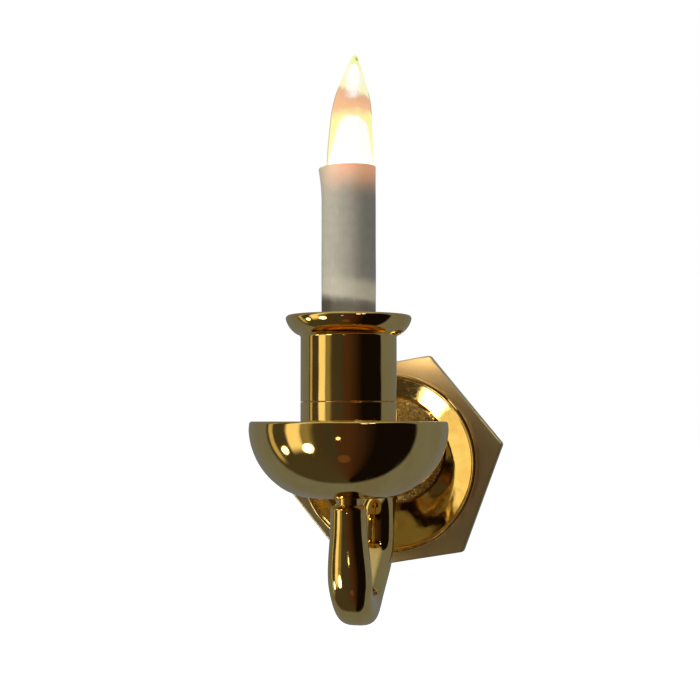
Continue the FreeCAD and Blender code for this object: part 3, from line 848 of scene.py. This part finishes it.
def candle_sleeve(material):
    """Thin tubing cut a little crooked, with its mouth flared to the left."""
    low, high = SLEEVE_LOW.z, SLEEVE_HIGH.z
    bore_r = 1.62
    edge = 0.03
    flare, flare_from = 0.20, 0.85
    cut_all_round, cut_at_left, cut_from = 0.02, 0.16, 0.9
    left = math.pi

    def ring(radius, share, inner):
        """The ring at a share of the height. The bore flares a little less than the outside."""
        points = []
        for angle in around(128):
            at_left = max(math.cos(angle - left), 0.0) ** 2
            out = flare * at_left * max((share - flare_from) / (1 - flare_from), 0.0) ** 1.5
            wave = 0.012 * noise.noise(Vector((math.cos(angle) * 2, math.sin(angle) * 2, share * 5)))
            r = radius + out * (0.9 if inner else 1.0) + wave
            cut = cut_all_round + cut_at_left * at_left + 0.01 * math.sin(3 * angle)
            z = blend(low, high - cut * ease((share - cut_from) / (1 - cut_from)), share)
            points.append((r * math.cos(angle), CANDLE_Y + r * math.sin(angle), z))
        return points

    steps = 60
    shares = [i / steps for i in range(steps + 1)]
    shares[-1] = 1 - edge / (high - low)
    rings = [ring(SLEEVE_R, s, False) for s in shares]
    rings += [ring(SLEEVE_R - 0.02, 1.0, False), ring(bore_r + 0.02, 1.0, True)]
    rings += [ring(bore_r, s, True) for s in reversed(shares)]
    sleeve = skin("candle_sleeve_tube", rings)
    return finish_piece(sleeve, "sleeve", "sleeve_plastic", material, "candle_sleeve")


# ---- Bulb ------------------------------------------------------------------------------------------------

# Share of the widest radius at each share of the height above the shoulder
FLAME = [(0.98, 0.25), (0.90, 0.48), (0.765, 0.67), (0.565, 0.79), (0.35, 0.89)]
BULB_SHOULDER = 0.6
BULB_WALL = 0.17
NUB_R = 0.2


def bulb_glass(material):
    """The flame-shaped envelope, leaning a little to the right as it rises."""
    low, high = mm_box("bulb_glass")
    bulb_r = half_width((low, high))
    foot, tip = low.z, high.z
    shoulder = foot + BULB_SHOULDER
    tall = tip - shoulder
    nub_z = tip - NUB_R
    diagonal = NUB_R * math.sqrt(0.5)
    outer = [(bulb_r * wide, shoulder + tall * up) for wide, up in FLAME]
    inner = [(r - BULB_WALL, z) for r, z in outer]
    mouth_r = 1.3
    points = outline(
        (mouth_r, foot),
        [
            (bulb_r - 0.06, foot),
            (bulb_r, shoulder),
            (outer[0], outer[1]),
            (outer[2], outer[3]),
            (outer[4], (NUB_R, nub_z)),
            ((diagonal, nub_z + diagonal), (0, tip)),
            (0, nub_z - 0.5),
            inner[4],
            inner[3],
            (inner[2], inner[1]),
            (inner[0], (bulb_r - BULB_WALL, shoulder + 0.2)),
            (mouth_r, shoulder),
        ],
    )
    rings = []
    for r, z in points:
        rise = max(z - foot, 0.0) / (tip - foot)
        lean = 0.02 + 0.05 * ease(rise / 0.3) + 0.34 * rise**2
        rings.append([(lean + r * math.cos(a), CANDLE_Y + r * math.sin(a), z) for a in around(128)])
    bulb = skin("bulb_glass_flame", rings)
    bulb.visible_shadow = False
    return finish_piece(bulb, "bulb", "clear_glass", material, "bulb_glass")


def filament(material):
    """The wound coil between the two supports."""
    low, high = mm_box("filament_coil")
    coil_r = (high.z - low.z) / 2 - 0.03
    centre_z = (low.z + high.z) / 2
    turns, steps_per_turn, wire_r = 11, 20, 0.022
    total = turns * steps_per_turn
    across = Vector((1.0, 0.0, 0.0))
    rings = []
    for i in range(total + 1):
        angle = math.tau * i / steps_per_turn
        x = blend(low.x + wire_r, high.x - wire_r, i / total)
        outward = Vector((0.0, math.cos(angle), math.sin(angle)))
        centre = Vector((x, CANDLE_Y, centre_z)) + outward * coil_r
        rings.append([
            tuple(centre + (across * math.cos(t) + outward * math.sin(t)) * wire_r)
            for t in around(8)
        ])
    caps = []
    for ring in (rings[0], rings[-1]):
        centre = sum((Vector(point) for point in ring), Vector()) / len(ring)
        caps.append([tuple(centre)] * len(ring))
    coil = skin("filament_coil_wound", [caps[0]] + rings + [caps[1]], loops=False)
    return finish_piece(coil, "bulb", "filament_metal", material, "filament_coil")


# ---- Stage, light and camera -----------------------------------------------------------------------------

def camera_side(azimuth_deg, elevation_deg):
    """A direction by its angle to the right of the camera's own side of the object, and its height."""
    azimuth = VIEW_AZIMUTH + math.radians(azimuth_deg)
    elevation = math.radians(elevation_deg)
    level = math.cos(elevation)
    return Vector((math.sin(azimuth) * level, -math.cos(azimuth) * level, math.sin(elevation)))


# Round lamps: angle right of the camera, height, radius in degrees, and light
LAMPS = [
    (-86.0, -27.0, 5.5, (5.0, 4.6, 3.9)),
    (-52.0, -30.0, 7.5, (6.0, 5.6, 4.8)),
    (-12.0, -18.0, 2.8, (3.0, 2.4, 1.6)),
    (-7.0, -50.0, 7.0, (0.14, 0.07, 0.03)),
    (19.0, 32.0, 4.5, (7.0, 6.4, 5.2)),
    (31.0, 40.0, 4.0, (7.0, 6.4, 5.2)),
]


# The room in front, from its left to its right
ROOM = [
    (0.15, (0.060, 0.052, 0.036)),
    (0.50, (0.066, 0.030, 0.018)),
    (0.76, (0.006, 0.004, 0.003)),
]


def studio_world():
    """What the brass reflects: a dim room with windows at the left, lamps, a grey back and a pale ceiling."""
    world = bpy.data.worlds.new("studio")
    bpy.context.scene.world = world
    world.use_nodes = True
    nodes = Nodes(world.node_tree)
    direction = nodes.add("TexCoord").outputs["Generated"]
    axes = nodes.add("SeparateXYZ", Vector=direction).outputs

    def facing(towards):
        """How nearly the ray goes towards a direction: the cosine of the angle between them."""
        node = nodes.add("VectorMath", {"operation": "DOT_PRODUCT"})
        nodes.feed_all(node.inputs, (direction, tuple(towards)))
        return node.outputs["Value"]

    angle = nodes.math("ARCTAN2", axes[0], nodes.math("MULTIPLY", axes[1], -1.0))
    angle = nodes.math("SUBTRACT", angle, VIEW_AZIMUTH)

    def window(left, right, low, high, soft):
        """A patch between two angles from the camera's side and two heights, in degrees, with soft edges."""
        low, high = math.sin(math.radians(low)), math.sin(math.radians(high))
        end_soft = 0.1
        return nodes.product(
            nodes.steps(angle, math.radians(left - soft), math.radians(left + soft)),
            nodes.steps(angle, math.radians(right - soft), math.radians(right + soft), 1.0, 0.0),
            nodes.steps(axes[2], low - end_soft, low + end_soft),
            nodes.steps(axes[2], high - end_soft, high + end_soft, 1.0, 0.0),
        )

    across_room = nodes.steps(angle, math.radians(-90), math.radians(90))
    light = nodes.ramp(across_room, 0.0, 1.0, ROOM)
    panes = [
        (window(-104, -97, -35, 60, 1.5), (0.55, 0.46, 0.24)),
        (window(-76, -57, -30, 70, 2.0), (1.10, 0.95, 0.60)),
        (window(-57, -44, -30, 60, 5.0), (0.28, 0.24, 0.12)),
        (window(-29, -17, -50, 60, 2.0), (0.05, 0.05, 0.04)),
    ]
    for given, tint in panes:
        light = nodes.mix(given, light, rgb(*tint))
    for azimuth, elevation, radius, tint in LAMPS:
        edge = math.cos(math.radians(radius))
        core = math.cos(math.radians(radius * 0.7))
        spot = nodes.steps(facing(camera_side(azimuth, elevation)), edge, core)
        light = nodes.mix(spot, light, rgb(*tint))
    behind = nodes.steps(facing(camera_side(168, 0)), 0.06, 0.16)
    light = nodes.mix(behind, light, rgb(0.170, 0.188, 0.215))
    overhead = nodes.steps(axes[2], 0.75, 0.95, 0.0, 0.8)
    light = nodes.mix(overhead, light, rgb(0.55, 0.54, 0.50))
    seen = nodes.add("LightPath").outputs["Is Camera Ray"]
    colour = nodes.mix(seen, light, rgb(1.0, 1.0, 1.0))
    background = nodes.add("Background", Color=colour, Strength=1.0)
    nodes.add("OutputWorld", Surface=background.outputs[0])


def pale_floor():
    """A wide pale floor well below the lamp."""
    half, drop = 3000.0, 50.0
    corners = [(-half, -half, -drop), (half, -half, -drop), (half, half, -drop), (-half, half, -drop)]
    data = bpy.data.meshes.new("floor")
    data.from_pydata([tuple(Vector(corner) * MM) for corner in corners], [], [(0, 1, 2, 3)])
    floor = bpy.data.objects.new("floor", data)
    bpy.context.scene.collection.objects.link(floor)
    material, nodes, shader = surface("floor_paper")
    fibres = nodes.noise(8.0, 4.0)
    nodes.feed(shader.inputs["Base Color"], nodes.mix(fibres, rgb(0.93, 0.93, 0.92), rgb(0.90, 0.90, 0.89)))
    shader.inputs["Roughness"].default_value = 0.9
    shader.inputs["Emission Color"].default_value = rgb(1.0, 1.0, 1.0)
    shader.inputs["Emission Strength"].default_value = 0.85
    data.materials.append(material)
    floor.visible_glossy = False
    floor.visible_diffuse = False
    floor.visible_transmission = False


def lamp(name, kind, energy, colour, place):
    """A lamp at a place in millimetres."""
    data = bpy.data.lights.new(name, kind)
    data.energy = energy
    data.color = colour
    light = bpy.data.objects.new(name, data)
    bpy.context.scene.collection.objects.link(light)
    light.location = place * MM
    return light


def bulb_light():
    """The warm light of the bulb on its surroundings, which rides with it."""
    low, high = mm_box("filament_coil")
    middle = (low + high) / 2
    glow = lamp("bulb_light", "POINT", 0.008, (1.0, 0.66, 0.38), middle)
    glow.data.shadow_soft_size = 1.1 * MM
    glow.visible_transmission = False
    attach(glow, "bulb")


def soft_boxes():
    """A key at the left and a fill in front, which light the sleeve without showing in the brass."""
    away = 200.0
    middle = Vector((0.0, CANDLE_Y, 8.0))
    for name, energy, side in (("key", 0.135, camera_side(-60, 15)), ("fill", 0.045, camera_side(6, 10))):
        light = lamp(name, "AREA", energy, (1.0, 0.98, 0.93), middle + side * away)
        light.data.shape = "DISK"
        light.data.size = 90.0 * MM
        light.rotation_euler = side.to_track_quat("Z", "Y").to_euler()
        light.visible_glossy = False
        light.visible_transmission = False


def camera():
    """A close-up camera a little to the right of the front."""
    data = bpy.data.cameras.new("camera")
    data.lens = LENS
    data.clip_start = 0.01
    data.clip_end = 20.0
    eye = Vector((
        VIEW_DISTANCE * math.sin(VIEW_AZIMUTH),
        CANDLE_Y - VIEW_DISTANCE * math.cos(VIEW_AZIMUTH),
        EYE_Z,
    ))
    right = Vector((math.cos(VIEW_AZIMUTH), math.sin(VIEW_AZIMUTH), 0.0))
    aim = Vector((0.0, CANDLE_Y, AIM_Z)) + right * AIM_RIGHT
    seat = bpy.data.objects.new("camera", data)
    bpy.context.scene.collection.objects.link(seat)
    seat.location = eye * MM
    seat.rotation_euler = (aim - eye).to_track_quat("-Z", "Y").to_euler()
    bpy.context.scene.camera = seat


# ---- The object ------------------------------------------------------------------------------------------

def build():
    """Makes every visible piece and gives the CAD pieces that stay their materials."""
    cast_gold = polished_gold("cast_gold", ripple=0.0018)
    spun_gold = polished_gold("spun_gold", stretch=(1.0, 1.0, 0.35), ripple=0.0009)
    turned_gold = polished_gold("turned_gold", stretch=(1.0, 1.0, 0.35), ripple=0.0014)
    hex_back_plate(satin_gold())
    rosette_dish(dish_gold())
    scroll_arm(cast_gold)
    drip_pan(spun_gold)
    cup_base(turned_gold)
    candle_cup(turned_gold)
    candle_sleeve(sleeve_plastic(mm_box("candle_cup")[1].z, SLEEVE_HIGH.z))
    bulb_low, bulb_high = mm_box("bulb_glass")
    bulb_glass(bulb_envelope(bulb_low.z, bulb_high.z))
    filament(glowing_wire())

    white_insulator = moulded("white_insulator", rgb(0.84, 0.82, 0.76), rgb(0.76, 0.74, 0.67), 0.45)
    nickel = plain_metal("nickel", rgb(0.72, 0.69, 0.64), rgb(0.58, 0.55, 0.50), 0.25)
    contact = plain_metal("contact_tube", rgb(0.86, 0.66, 0.34), rgb(0.70, 0.50, 0.24), 0.25)
    black_sleeve = moulded("black_sleeve", rgb(0.03, 0.03, 0.03), rgb(0.05, 0.05, 0.05), 0.5)
    wire_white = moulded("wire_white", rgb(0.88, 0.86, 0.80), rgb(0.80, 0.78, 0.72), 0.35)
    kept = {
        "arm_solder_ring": plain_metal("solder", rgb(0.66, 0.60, 0.50), rgb(0.50, 0.45, 0.38), 0.3),
        "wire_exit_bush": moulded("bush_nylon", rgb(0.86, 0.84, 0.78), rgb(0.78, 0.76, 0.70), 0.5),
        "stack_nut": plain_metal("nut_brass", rgb(0.88, 0.66, 0.30), rgb(0.72, 0.52, 0.22), 0.22),
        "lamp_socket": white_insulator,
        "bulb_base": white_insulator,
    }
    for side in ("left", "right"):
        kept["bulb_pin_" + side] = nickel
        kept["filament_support_" + side] = nickel
        kept["socket_contact_" + side] = contact
        kept["joint_sleeve_" + side] = black_sleeve
        kept["feed_wire_" + side] = wire_white
    for node, material in kept.items():
        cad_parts[node].material_slots[0].material = material


build()
studio_world()
pale_floor()
bulb_light()
soft_boxes()
camera()
bpy.context.scene.view_settings.view_transform = "Standard"
